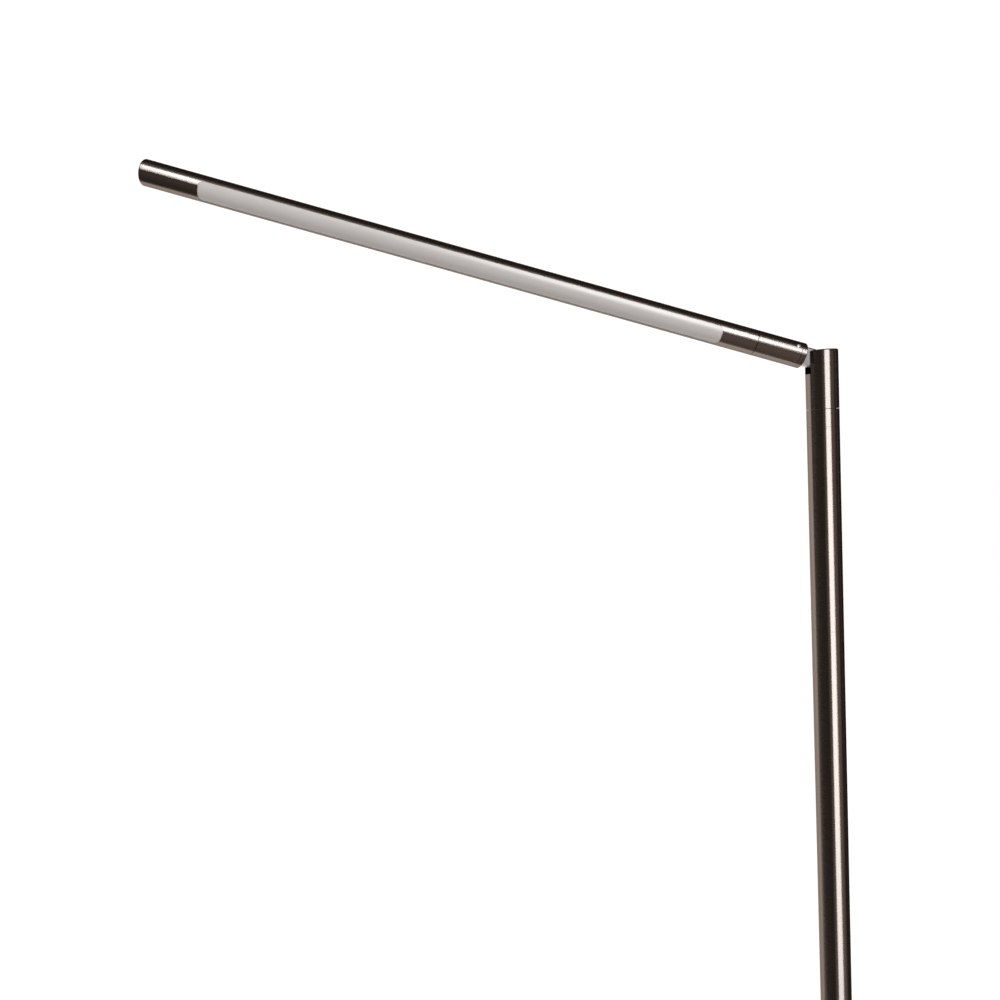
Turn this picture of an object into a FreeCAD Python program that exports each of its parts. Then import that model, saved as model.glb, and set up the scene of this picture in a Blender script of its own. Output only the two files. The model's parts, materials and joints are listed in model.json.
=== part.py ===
import FreeCAD, Part
import math
import os
import re
import Sketcher

# A slim LED floor lamp: a round weighted base, a pole in three tubes, a swivelling
# head, a tilting arm and a light bar that rolls about its own axis.
# Z is up and the floor is Z = 0.  The pole stands on Z and the arm points along -X.
# Arm pieces are drawn along their own Z, measured from the tilt pin, then laid over.

# Driving dimensions in millimetres and degrees: name, value, meaning.
SIZES = [
    ("hinge_height", 1400.0, "floor to the axis of the tilt pin"),
    ("pole_dia", 32.0, "outside of the pole tubes and the head"),
    ("pole_wall", 1.5, "wall of the pole tubes"),
    ("arm_dia", 26.0, "outside of the arm sleeve and the light bar"),
    ("arm_wall", 1.3, "wall of the arm sleeve and the light bar"),
    ("arm_tilt", 18.8, "rise of the arm above level at rest"),
    ("bar_roll", 25.0, "how far the window faces below level at rest"),
    ("slide_gap", 0.05, "radial gap of pressed and sliding fits"),
    ("body_gap", 0.3, "gap between faces of bodies that move apart"),
    ("seam_bevel", 0.4, "bevel on the tube ends at a seam"),
    ("base_dia", 280.0, "outside of the base cover"),
    ("base_height", 26.0, "floor to the top of the base cover"),
    ("cover_wall", 1.5, "sheet of the base cover"),
    ("cover_lift", 1.5, "floor to the lower edge of the cover"),
    ("cover_round", 4.0, "outside radius of the cover's top edge"),
    ("cover_play", 0.6, "gap between the weight and the cover's side"),
    ("pad_height", 3.0, "thickness of the floor pad"),
    ("pad_inset", 12.0, "pad edge to cover edge"),
    ("stud_dia", 10.0, "hollow threaded stud in the base"),
    ("stud_bore", 6.8, "wire way through the stud"),
    ("stud_reach", 20.0, "how far the stud stands into the foot plug"),
    ("nut_height", 5.0, "thin nut under the base weight"),
    ("nut_flats", 17.0, "nut across its flats"),
    ("washer_height", 1.6, "washer under the base weight"),
    ("washer_dia", 26.0, "outside of that washer"),
    ("nut_well", 34.0, "well for the nut in the weight"),
    ("clamp_thickness", 5.0, "iron left above the nut well"),
    ("channel_width", 9.0, "wire channel in the weight"),
    ("channel_top", 13.0, "floor to the roof of the wire channel"),
    ("inlet_height", 8.5, "floor to the axis of the cord inlet"),
    ("inlet_dia", 7.9, "body of the cord inlet bush"),
    ("inlet_bore", 5.2, "bore of the cord inlet bush"),
    ("inlet_length", 12.0, "cord inlet bush, end to end"),
    ("inlet_flange_dia", 11.0, "flange of the cord inlet bush"),
    ("inlet_flange", 2.0, "thickness of that flange"),
    ("lead_dia", 4.4, "supply lead inside the base and the pole"),
    ("lead_bend", 6.0, "bend of the supply lead under the pole"),
    ("plug_height", 28.0, "foot plug in the lowest tube"),
    ("pole_seam_low", 571.0, "floor to the lower pole seam"),
    ("pole_seam_high", 1119.5, "floor to the upper pole seam"),
    ("coupler_length", 60.0, "coupler inside a pole seam"),
    ("coupler_bore", 12.0, "wire way through a coupler"),
    ("collar_drop", 67.0, "tilt pin to the bottom of the collar"),
    ("head_drop", 49.0, "tilt pin to the top of the collar"),
    ("head_rise", 11.5, "tilt pin to the top of the head"),
    ("head_round", 1.6, "radius of the head's top edge"),
    ("post_grip", 30.0, "swivel post inside the upper tube"),
    ("post_dia", 16.0, "neck of the swivel post"),
    ("post_bore", 8.0, "wire way through the swivel post"),
    ("post_rise", 25.0, "neck above the collar"),
    ("groove_rise", 19.0, "collar to the foot of the stop groove"),
    ("groove_width", 4.4, "stop groove of the swivel post"),
    ("groove_depth", 1.6, "depth of the stop grooves"),
    ("stop_web", 2.0, "web that closes a stop groove"),
    ("bush_dia", 22.0, "outside of the swivel bush"),
    ("bush_height", 14.0, "swivel bush above its flange"),
    ("bush_flange_dia", 26.0, "flange of the swivel bush"),
    ("bush_flange", 1.2, "thickness of that flange"),
    ("chamber_rise", 32.0, "collar to the roof of the head's chamber"),
    ("slot_drop_gap", 2.4, "tongue to the floor of the slot"),
    ("slot_back_gap", 0.4, "tongue to the back wall of the slot"),
    ("passage_offset", 5.0, "pole axis to the wire passage in the head"),
    ("passage_dia", 7.0, "wire passage in the head"),
    ("pin_dia", 6.0, "tilt pin"),
    ("pin_front", 12.5, "tilt pin's blind end, from the pole axis"),
    ("pin_back", 14.2, "tilt pin's slotted end, from the pole axis"),
    ("driver_slot", 1.2, "screwdriver slots"),
    ("tongue_width", 12.0, "hinge tongue across its flats"),
    ("washer_gap", 0.05, "gap on each side of a friction washer"),
    ("friction_thickness", 1.1, "thickness of a friction washer"),
    ("friction_inset", 2.0, "edge of a friction washer inside the tongue's round end"),
    ("cap_start", 21.0, "tilt pin to the inner face of the arm"),
    ("cap_length", 5.6, "arm end cap"),
    ("cap_wall", 3.0, "arm end cap, from the tongue to its outside"),
    ("cap_bevel", 0.8, "bevel of the arm end cap"),
    ("cap_groove", 2.6, "arm face to the groove in its cap"),
    ("groove_line", 0.3, "depth and half width of that groove"),
    ("spigot_length", 23.4, "tongue spigot inside the arm sleeve"),
    ("port_distance", 10.5, "tilt pin to the wire port in the tongue"),
    ("bore_start", 8.0, "tilt pin to the closed end of the tongue's bore"),
    ("wire_way", 6.0, "wire way through the tongue and the roll post"),
    ("wire_dia", 3.0, "low voltage lead in the head and the arm"),
    ("wire_bend", 4.0, "bend of that lead in the tongue"),
    ("grub_dia", 3.5, "grub screw of the arm sleeve"),
    ("grub_distance", 31.0, "tilt pin to that grub screw along the arm"),
    ("grub_angle", 32.0, "grub screw above level, on the lamp's front"),
    ("grub_depth", 5.0, "length of that grub screw"),
    ("guide_dia", 4.0, "guide screws that ride in the stop grooves"),
    ("guide_tip_dia", 3.0, "tip of a guide screw"),
    ("hex_key", 2.0, "hexagon socket of the grub and guide screws"),
    ("roll_seam", 72.5, "tilt pin to the seam that the light bar rolls at"),
    ("roll_bevel", 0.8, "bevel on both sides of the roll seam"),
    ("roll_grip", 22.0, "roll post inside the arm sleeve"),
    ("roll_post_dia", 14.0, "neck of the roll post"),
    ("roll_reach", 24.0, "neck past the roll seam"),
    ("roll_groove", 13.5, "roll seam to the stop groove"),
    ("hub_length", 23.0, "hub inside the light bar"),
    ("window_start", 109.5, "tilt pin to the near end of the window"),
    ("window_length", 545.5, "window, end to end"),
    ("window_width", 18.4, "window across the light bar"),
    ("window_corner", 4.5, "corner radius of the window"),
    ("lens_gap", 0.1, "gap between the diffuser and the window's edge"),
    ("lens_inset", 0.15, "diffuser below the light bar's surface"),
    ("lens_wall", 1.2, "lip of the diffuser behind the tube wall"),
    ("lens_lip", 1.2, "how far that lip reaches past the window"),
    ("bar_end", 716.0, "tilt pin to the tip of the light bar"),
    ("tip_length", 3.0, "visible thickness of the tip cap"),
    ("tip_round", 2.0, "edge radius of the tip cap"),
    ("tip_plug", 13.0, "plug of the tip cap inside the light bar"),
    ("carrier_start", 104.0, "tilt pin to the LED carrier"),
    ("carrier_play", 0.5, "gap between the LED carrier and the plug of the tip cap"),
    ("carrier_groove", 7.0, "round groove along the LED carrier"),
    ("board_width", 12.0, "LED board"),
    ("board_height", 1.0, "thickness of the LED board"),
    ("board_length", 555.0, "LED board, end to end"),
    ("chip_length", 3.5, "LED along the board"),
    ("chip_width", 2.8, "LED across the board"),
    ("chip_height", 0.7, "LED above the board"),
    ("chip_pitch", 9.1, "LED to LED along the board"),
    ("chip_first", 8.0, "board end to the middle of the first LED"),
    ("tool_run", 2.0, "how far a cutting tool runs past the face that it opens"),
]

# Sizes and places that follow from the driving dimensions.
WORKED = {
    "pole_radius": "pole_dia / 2",
    "pole_inside": "pole_radius - pole_wall",
    "pole_plug": "pole_inside - slide_gap",
    "arm_radius": "arm_dia / 2",
    "arm_inside": "arm_radius - arm_wall",
    "arm_plug": "arm_inside - slide_gap",
    "base_radius": "base_dia / 2",
    "weight_radius": "base_radius - cover_wall - cover_play",
    "weight_top": "base_height - cover_wall",
    "well_roof": "weight_top - clamp_thickness",
    "washer_foot": "well_roof - washer_height",
    "nut_foot": "washer_foot - nut_height",
    "stud_foot": "nut_foot - 0.5",
    "stud_radius": "stud_dia / 2",
    "collar_foot": "hinge_height - collar_drop",
    "collar_top": "hinge_height - head_drop",
    "head_foot": "collar_top + body_gap",
    "head_top": "hinge_height + head_rise",
    "post_top": "collar_top + post_rise",
    "post_radius": "post_dia / 2",
    "groove_foot": "collar_top + groove_rise",
    "groove_radius": "post_radius - groove_depth",
    "chamber_roof": "collar_top + chamber_rise",
    "chamber_radius": "bush_dia / 2 + slide_gap",
    "flange_roof": "collar_top + bush_flange + 2 * slide_gap",
    "tongue_dia": "arm_dia - 2 * cap_wall",
    "tongue_radius": "tongue_dia / 2",
    "friction_dia": "tongue_dia - 2 * friction_inset",
    "slot_width": "tongue_width + 2 * friction_thickness + 4 * washer_gap",
    "slot_drop": "tongue_radius + slot_drop_gap",
    "slot_back": "tongue_radius + slot_back_gap",
    "slot_floor": "hinge_height - slot_drop",
    "sleeve_start": "cap_start + cap_length",
    "bar_start": "roll_seam + body_gap",
    "roll_radius": "roll_post_dia / 2",
    "roll_end": "roll_seam + roll_reach",
    "hub_start": "bar_start + body_gap",
    "hub_end": "hub_start + hub_length",
    "window_end": "window_start + window_length",
    "lens_outside": "arm_radius - lens_inset",
    "lip_outside": "arm_inside - lens_gap",
    "tip_start": "bar_end - tip_length",
    "carrier_end": "tip_start - tip_plug - carrier_play",
    "carrier_radius": "arm_inside - 2 * slide_gap",
}

NAMES = [size[0] for size in SIZES]

doc = FreeCAD.newDocument("floor_lamp")
sheet = doc.addObject("Spreadsheet::Sheet", "dims")
nodes = []


def fill_sheet():
    for row, (name, size, meaning) in enumerate(SIZES, 1):
        sheet.set("A%d" % row, name)
        sheet.set("B%d" % row, str(size))
        sheet.setAlias("B%d" % row, name)
        sheet.set("C%d" % row, meaning)
    doc.recompute()


# A formula in plain size names becomes one that points at the sheet's cells.
def link(formula):
    def cell(found):
        word = found.group()
        if word in WORKED:
            return "(" + link(WORKED[word]) + ")"
        return "dims." + word if word in NAMES else word
    return re.sub(r"[a-z_]+", cell, str(formula))


def value(formula):
    return float(sheet.evalExpression(link(formula).replace("dims.", "")))


def bind(piece, **sizes):
    for name, formula in sizes.items():
        piece.setExpression(name, link(formula))
    return piece


def node(piece, name):
    piece.Label = name
    nodes.append(piece)
    return piece


# Placement from formulas: a shift, then a turn about a named direction.
def place(piece, x=0, y=0, z=0, axis="0; 0; 1", turn=0):
    spot = "vector(%s; %s; %s)" % (link(x), link(y), link(z))
    piece.setExpression("Placement", "placement(%s; rotation(vector(%s); %s))" % (spot, axis, link(turn)))
    return piece


# Lays a piece along the arm: its Z points out of the head and its X points up.
# The second turn rolls it about the arm's own axis.
def along_arm(piece, roll=0):
    lean = "placement(vector(0; 0; %s); rotation(vector(0; -1; 0); %s))"
    spin = "placement(vector(0; 0; 0); rotation(vector(0; 0; 1); %s))"
    lean = lean % (link("hinge_height"), link("90 - arm_tilt"))
    piece.setExpression("Placement", lean + " * " + spin % link(roll))
    return piece


def cylinder(name, radius, height, **where):
    return place(bind(doc.addObject("Part::Cylinder", name), Radius=radius, Height=height), **where)


def block(name, length, width, height, **where):
    piece = bind(doc.addObject("Part::Box", name), Length=length, Width=width, Height=height)
    return place(piece, **where)


def cut(name, base, *tools):
    for number, tool in enumerate(tools, 1):
        piece = doc.addObject("Part::Cut", name + ("" if number == len(tools) else "_cut%d" % number))
        piece.Base = base
        piece.Tool = tool
        base = piece
    return base


def joined(name, *pieces):
    piece = doc.addObject("Part::MultiFuse", name)
    piece.Shapes = list(pieces)
    piece.Refine = True
    return piece


def shared(name, *pieces):
    piece = doc.addObject("Part::MultiCommon", name)
    piece.Shapes = list(pieces)
    return piece


def tube(name, outside, inside, start, end):
    outline = [(inside, start), (outside, start), (outside, end), (inside, end)]
    return turned(name, outline)


def plane(body, role):
    return [feature for feature in body.Origin.OriginFeatures if feature.Role == role][0]


# A closed outline of (across, up) formulas on the body's own XZ plane.
def outline_sketch(body, name, points):
    sketch = body.newObject("Sketcher::SketchObject", name)
    sketch.AttachmentSupport = [(plane(body, "XZ_Plane"), "")]
    sketch.MapMode = "FlatFace"
    spots = [FreeCAD.Vector(value(across), value(up), 0) for across, up in points]
    count = len(points)
    for index, spot in enumerate(spots):
        sketch.addGeometry(Part.LineSegment(spot, spots[(index + 1) % count]), False)
    for index in range(count):
        sketch.addConstraint(Sketcher.Constraint("Coincident", index, 2, (index + 1) % count, 1))
    for index, (across, up) in enumerate(points):
        hold(sketch, index, "DistanceX", across, spots[index].x, -2)
        hold(sketch, index, "DistanceY", up, spots[index].y, -1)
    return sketch


# Ties one corner to a formula, or to the sketch's own axis where the formula is 0.
def hold(sketch, corner, kind, formula, size, zero_axis):
    if formula == 0:
        sketch.addConstraint(Sketcher.Constraint("PointOnObject", corner, 1, zero_axis))
        return
    number = sketch.addConstraint(Sketcher.Constraint(kind, -1, 1, corner, 1, size))
    sketch.setExpression("Constraints[%d]" % number, link(formula))


# A body turned about its own Z from an outline of (radius, height) formulas.
def turned(name, points):
    body = doc.addObject("PartDesign::Body", name)
    sketch = outline_sketch(body, name + "_outline", points)
    turning = body.newObject("PartDesign::Revolution", name + "_turned")
    turning.Profile = sketch
    turning.ReferenceAxis = (sketch, ["V_Axis"])
    turning.Angle = 360
    doc.recompute()
    return body


# Rounds every round edge of a turned body that lies at this radius and height.
def round_edge(body, radius, height, size):
    last = body.Tip
    edges = []
    for number, edge in enumerate(last.Shape.Edges, 1):
        round_one = isinstance(edge.Curve, Part.Circle)
        if round_one and abs(edge.Curve.Radius - value(radius)) < 0.01 \
                and abs(edge.Curve.Center.z - value(height)) < 0.01:
            edges.append("Edge%d" % number)
    fillet = body.newObject("PartDesign::Fillet", body.Name + "_round")
    fillet.Base = (last, edges)
    bind(fillet, Radius=size)
    doc.recompute()


def drill(body, name, radius, length, **where):
    hole = body.newObject("PartDesign::SubtractiveCylinder", name)
    bind(hole, Radius=radius, Height=length)
    place(hole, **where)
    doc.recompute()


def mill(body, name, length, width, height, **where):
    pocket = body.newObject("PartDesign::SubtractiveBox", name)
    bind(pocket, Length=length, Width=width, Height=height)
    place(pocket, **where)
    doc.recompute()


# A block with rounded corners, centred on X, that stands out of the XZ plane towards -Y.
def rounded_block(name, width, start, end, depth, corner):
    body = doc.addObject("PartDesign::Body", name)
    pad = body.newObject("PartDesign::Pad", name + "_pad")
    pad.Profile = outline_sketch(body, name + "_outline", [(0, start), (width, start), (width, end), (0, end)])
    bind(pad, Length=depth)
    doc.recompute()
    edges = []
    for number, edge in enumerate(pad.Shape.Edges, 1):
        if abs(edge.tangentAt(edge.FirstParameter).y) > 0.99:
            edges.append("Edge%d" % number)
    fillet = body.newObject("PartDesign::Fillet", name + "_corners")
    fillet.Base = (pad, edges)
    bind(fillet, Radius=corner)
    place(body, x="-(%s) / 2" % width)
    doc.recompute()
    return body


# A screw without a head, drawn along Z: tip first, a hexagon socket at its other end.
def headless_screw(name, radius, length, tip_radius, tip_length):
    blank = turned(name + "_blank", [
        (0, 0), (tip_radius, 0), (tip_radius, tip_length), (radius, tip_length), (radius, length), (0, length)])
    socket = bind(doc.addObject("Part::Prism", name + "_socket"), Circumradius="hex_key / 2", Height="hex_key")
    place(socket, z="(%s) - hex_key / 2" % length)
    return cut(name, blank, socket)


# A wire of straight runs and arcs: corners are (x, y, z), and each inner one has a bend radius.
def wire_piece(name, corners, bends, radius):
    spots = [FreeCAD.Vector(*[value(part) for part in corner]) for corner in corners]
    edges = []
    start = spots[0]
    for index, bend in enumerate(bends, 1):
        before = (spots[index - 1] - spots[index]).normalize()
        after = (spots[index + 1] - spots[index]).normalize()
        half = before.getAngle(after) / 2
        reach = value(bend) / math.tan(half)
        middle = value(bend) / math.sin(half) - value(bend)
        first = spots[index] + before * reach
        last = spots[index] + after * reach
        edges.append(Part.LineSegment(start, first).toShape())
        edges.append(Part.Arc(first, spots[index] + (before + after).normalize() * middle, last).toShape())
        start = last
    edges.append(Part.LineSegment(start, spots[-1]).toShape())
    ring = Part.Wire([Part.makeCircle(value(radius), spots[0], spots[1] - spots[0])])
    lead = doc.addObject("Part::Feature", name)
    lead.Shape = Part.Wire(edges).makePipeShell([ring], True, False)
    return lead


# ---- base: pad, iron weight, cover, and the stud that clamps them to the pole ----

def base_pieces():
    rim = "base_radius - pad_inset"
    node(turned("pad", [(0, 0), (rim, 0), (rim, "pad_height"), (0, "pad_height")]), "floor_pad")

    # Iron disc with a well for the nut and a wire channel to the back.
    shoulder = "(cover_round - cover_wall + 1)"
    weight = turned("weight", [
        ("nut_well / 2", "pad_height"), ("weight_radius", "pad_height"),
        ("weight_radius", "weight_top - " + shoulder), ("weight_radius - " + shoulder, "weight_top"),
        ("stud_radius + slide_gap", "weight_top"), ("stud_radius + slide_gap", "well_roof"),
        ("nut_well / 2", "well_roof")])
    mill(weight, "wire_channel", "base_radius", "channel_width", "channel_top - pad_height",
         y="-channel_width / 2", z="pad_height")
    node(weight, "base_weight")

    cover = turned("cover", [
        ("base_radius - cover_wall", "cover_lift"), ("base_radius", "cover_lift"),
        ("base_radius", "base_height"), ("stud_radius + slide_gap", "base_height"),
        ("stud_radius + slide_gap", "weight_top"), ("base_radius - cover_wall", "weight_top")])
    round_edge(cover, "base_radius", "base_height", "cover_round")
    round_edge(cover, "base_radius - cover_wall", "weight_top", "cover_round - cover_wall")
    drill(cover, "inlet_hole", "inlet_dia / 2 + slide_gap", "cover_wall + 2 * tool_run",
          x="base_radius - cover_wall - tool_run", z="inlet_height", axis="0; 1; 0", turn=90)
    node(cover, "base_cover")

    # Bush that lines the hole where the supply cord enters.
    bush = turned("inlet", [
        ("inlet_bore / 2", 0), ("inlet_dia / 2", 0), ("inlet_dia / 2", "inlet_length - inlet_flange"),
        ("inlet_flange_dia / 2", "inlet_length - inlet_flange"), ("inlet_flange_dia / 2", "inlet_length"),
        ("inlet_bore / 2", "inlet_length")])
    place(bush, x="base_radius - inlet_length + inlet_flange", z="inlet_height", axis="0; 1; 0", turn=90)
    node(bush, "cord_inlet_bush")

    node(tube("stud", "stud_radius", "stud_bore / 2", "stud_foot", "base_height + stud_reach"), "base_stud")
    node(tube("washer", "washer_dia / 2", "stud_radius + slide_gap", "washer_foot", "well_roof"), "base_washer")
    hexagon = bind(doc.addObject("Part::Prism", "nut_body"), Circumradius="nut_flats / sqrt(3)", Height="nut_height")
    place(hexagon, z="nut_foot")
    thread = cylinder("nut_thread", "stud_radius + slide_gap", "nut_height", z="nut_foot")
    node(cut("nut", hexagon, thread), "base_nut")


# ---- pole: three tubes, the plug at their foot, two couplers and the lead ----

def pole_tube(name, start, end):
    pole = turned(name + "_tube", [
        ("pole_inside", start), ("pole_radius - seam_bevel", start),
        ("pole_radius", start + " + seam_bevel"), ("pole_radius", end + " - seam_bevel"),
        ("pole_radius - seam_bevel", end), ("pole_inside", end)])
    node(pole, name)


def pole_pieces():
    foot = tube("foot", "pole_plug", "stud_radius + slide_gap", "base_height", "base_height + plug_height")
    node(foot, "foot_plug")
    pole_tube("pole_lower", "base_height", "pole_seam_low")
    pole_tube("pole_middle", "pole_seam_low", "pole_seam_high")
    pole_tube("pole_upper", "pole_seam_high", "collar_foot")
    for side, seam in (("lower", "pole_seam_low"), ("upper", "pole_seam_high")):
        joiner = tube("joiner_" + side, "pole_plug", "coupler_bore / 2",
                      seam + " - coupler_length / 2", seam + " + coupler_length / 2")
        node(joiner, side + "_coupler")
    corners = [("base_radius - inlet_length + inlet_flange - 1", 0, "inlet_height"),
               (0, 0, "inlet_height"), (0, 0, "post_top - 1")]
    node(wire_piece("supply", corners, ["lead_bend"], "lead_dia / 2"), "supply_lead")


# ---- swivel: a post with a stop groove, a collar and a plastic bush ----

# A groove cut nearly all round a neck: the web that is left stops the guide screw.
# The web lies on the side that the formulas x and y name.
def stop_groove(name, neck, foot, inner, outer, **web_place):
    ring = tube(name + "_ring", outer + " + 1", inner, foot, foot + " + groove_width")
    web = block(name + "_web", outer + " + 1", "stop_web", "groove_width", z=foot, **web_place)
    return cut(name, neck, cut(name + "_groove", ring, web))


def swivel_pieces():
    neck = turned("swivel_neck", [
        ("post_bore / 2", "collar_foot - post_grip"), ("pole_plug", "collar_foot - post_grip"),
        ("pole_plug", "collar_foot"), ("post_radius", "collar_foot"),
        ("post_radius", "post_top"), ("post_bore / 2", "post_top")])
    post = stop_groove("swivel", neck, "groove_foot", "groove_radius", "post_radius",
                       x="-post_radius - 1", y="-stop_web / 2")
    node(post, "swivel_post")

    collar = turned("collar", [
        ("post_radius + slide_gap", "collar_foot"), ("pole_radius - seam_bevel", "collar_foot"),
        ("pole_radius", "collar_foot + seam_bevel"), ("pole_radius", "collar_top - seam_bevel"),
        ("pole_radius - seam_bevel", "collar_top"), ("post_radius + slide_gap", "collar_top")])
    node(collar, "swivel_collar")

    flange_top = "collar_top + slide_gap + bush_flange"
    bush = turned("swivel_sleeve", [
        ("post_radius + slide_gap", "collar_top + slide_gap"), ("bush_flange_dia / 2", "collar_top + slide_gap"),
        ("bush_flange_dia / 2", flange_top), ("bush_dia / 2", flange_top),
        ("bush_dia / 2", flange_top + " + bush_height"), ("post_radius + slide_gap", flange_top + " + bush_height")])
    node(bush, "swivel_bush")


# ---- head: the slotted top of the pole, its tilt pin, washers and guide screw ----

def head_pieces():
    head = turned("head", [
        ("bush_flange_dia / 2 + slide_gap", "head_foot"), ("pole_radius - seam_bevel", "head_foot"),
        ("pole_radius", "head_foot + seam_bevel"), ("pole_radius", "head_top"), (0, "head_top"),
        (0, "chamber_roof"), ("chamber_radius", "chamber_roof"), ("chamber_radius", "flange_roof"),
        ("bush_flange_dia / 2 + slide_gap", "flange_roof")])
    round_edge(head, "pole_radius", "head_top", "head_round")
    mill(head, "tongue_slot", "pole_radius + tool_run + slot_back", "slot_width",
         "slot_drop + head_rise + tool_run", x="-pole_radius - tool_run", y="-slot_width / 2", z="slot_floor")
    drill(head, "wire_passage", "passage_dia / 2", "slot_floor - chamber_roof + 2 * tool_run",
          x="-passage_offset", z="chamber_roof - tool_run")
    drill(head, "pin_hole", "pin_dia / 2 + slide_gap / 2", "pin_front + slide_gap + pole_radius + tool_run",
          y="-pin_front - slide_gap", z="hinge_height", axis="-1; 0; 0", turn=90)
    drill(head, "guide_hole", "guide_dia / 2 + slide_gap / 2", "pole_radius",
          x="chamber_radius - tool_run", z="groove_foot + groove_width / 2", axis="0; 1; 0", turn=90)
    node(head, "head_housing")

    shaft = cylinder("pin_shaft", "pin_dia / 2", "pin_front + pin_back")
    slot = block("pin_slot", "pin_dia", "driver_slot", "driver_slot",
                 x="-pin_dia / 2", y="-driver_slot / 2", z="pin_front + pin_back - driver_slot")
    pin = place(cut("pin", shaft, slot), y="-pin_front", z="hinge_height", axis="-1; 0; 0", turn=90)
    node(pin, "tilt_pin")

    discs = []
    for side, lean in (("front", "1; 0; 0"), ("back", "-1; 0; 0")):
        disc = tube("disc_" + side, "friction_dia / 2", "pin_dia / 2 + slide_gap",
                    "tongue_width / 2 + washer_gap", "slot_width / 2 - washer_gap")
        discs.append(place(disc, z="hinge_height", axis=lean, turn=90))
    pair = doc.addObject("Part::Compound", "discs")
    pair.Links = discs
    node(pair, "friction_washers")

    guide = headless_screw("head_guide", "guide_dia / 2", "pole_radius - groove_radius - 2 * seam_bevel",
                           "guide_tip_dia / 2", "groove_depth")
    place(guide, x="groove_radius + seam_bevel", z="groove_foot + groove_width / 2", axis="0; 1; 0", turn=90)
    node(guide, "head_guide_screw")

    corners = [(0, 0, "post_top + body_gap"), (0, 0, "post_top + wire_dia / 2"),
               ("-passage_offset", 0, "chamber_roof + wire_dia"), ("-passage_offset", 0, "slot_floor - body_gap")]
    node(wire_piece("head_wire", corners, ["wire_dia / 2", "wire_dia / 2"], "wire_dia / 2"), "head_lead")


# ---- arm: the tongue that tilts on the pin, its end cap and sleeve, and the roll post ----

# Drawn along Z with a round end about the pin, flats to fit the slot and a spigot.
def tongue_piece():
    ball = bind(doc.addObject("Part::Sphere", "tongue_ball"), Radius="tongue_radius")
    bar = cylinder("tongue_bar", "tongue_radius", "cap_start")
    flats = block("tongue_flats", "tongue_dia", "tongue_width", "cap_start + tongue_radius",
                  x="-tongue_radius", y="-tongue_width / 2", z="-tongue_radius")
    lug = shared("tongue_lug", joined("tongue_round", ball, bar), flats)
    neck = cylinder("tongue_neck", "tongue_radius", "cap_length", z="cap_start")
    spigot = cylinder("tongue_spigot", "arm_plug", "spigot_length", z="sleeve_start")
    pin_bore = cylinder("tongue_pin_bore", "pin_dia / 2 + slide_gap", "tongue_dia",
                        y="-tongue_radius", axis="-1; 0; 0", turn=90)
    port = cylinder("tongue_port", "wire_way / 2", "tongue_radius + tool_run",
                    x="-tongue_radius - tool_run", z="port_distance", axis="0; 1; 0", turn=90)
    way = cylinder("tongue_way", "wire_way / 2", "sleeve_start + spigot_length", z="bore_start")
    solid = joined("tongue_solid", lug, neck, spigot)
    tongue = cut("tongue", solid, pin_bore, port, way, grub_hole("tongue_seat"))
    node(along_arm(tongue), "hinge_tongue")


# The grub screw's own axis leans up from the front (-Y) by grub_angle.
def at_grub(piece, start):
    return place(piece, x="(%s) * sin(grub_angle)" % start, y="-(%s) * cos(grub_angle)" % start,
                 z="grub_distance", axis=link("cos(grub_angle); sin(grub_angle); 0"), turn=90)


def grub_hole(name):
    return at_grub(cylinder(name, "grub_dia / 2 + slide_gap / 2", "arm_radius"), "arm_radius - grub_depth")


def arm_pieces():
    tongue_piece()
    cap = turned("cap", [
        ("tongue_radius + slide_gap", "cap_start"), ("arm_radius - cap_bevel", "cap_start"),
        ("arm_radius", "cap_start + cap_bevel"), ("arm_radius", "cap_start + cap_groove - groove_line"),
        ("arm_radius - groove_line", "cap_start + cap_groove"),
        ("arm_radius", "cap_start + cap_groove + groove_line"),
        ("arm_radius", "sleeve_start - groove_line"), ("arm_radius - groove_line", "sleeve_start"),
        ("tongue_radius + slide_gap", "sleeve_start")])
    node(along_arm(cap), "arm_end_cap")

    sleeve = turned("sleeve_tube", [
        ("arm_inside", "sleeve_start"), ("arm_radius - groove_line", "sleeve_start"),
        ("arm_radius", "sleeve_start + groove_line"), ("arm_radius", "roll_seam - roll_bevel"),
        ("arm_radius - roll_bevel", "roll_seam"), ("arm_inside", "roll_seam")])
    node(along_arm(cut("sleeve", sleeve, grub_hole("sleeve_hole"))), "arm_sleeve")

    grub = headless_screw("grub", "grub_dia / 2", "grub_depth - groove_line", "grub_dia / 2 - groove_line", "groove_line")
    at_grub(grub, "arm_radius - grub_depth + groove_line / 2")
    carrier = doc.addObject("Part::Compound", "grub_laid")
    carrier.Links = [grub]
    node(along_arm(carrier), "arm_grub_screw")

    neck = turned("roll_neck", [
        ("wire_way / 2", "roll_seam - roll_grip"), ("arm_plug", "roll_seam - roll_grip"),
        ("arm_plug", "roll_seam"), ("roll_radius", "roll_seam"),
        ("roll_radius", "roll_end"), ("wire_way / 2", "roll_end")])
    post = stop_groove("roll", neck, "roll_seam + roll_groove", "roll_radius - groove_depth", "roll_radius",
                       x="stop_web / 2", y="-roll_radius - 1", turn=90)
    node(along_arm(post, "-bar_roll"), "roll_post")

    corners = [("-tongue_radius + body_gap", 0, "port_distance"), (0, 0, "port_distance"), (0, 0, "roll_end - 1")]
    node(along_arm(wire_piece("arm_wire", corners, ["wire_bend"], "wire_dia / 2")), "arm_lead")


# ---- light bar: tube with a window, diffuser, LED carrier, and its ends ----

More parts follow.
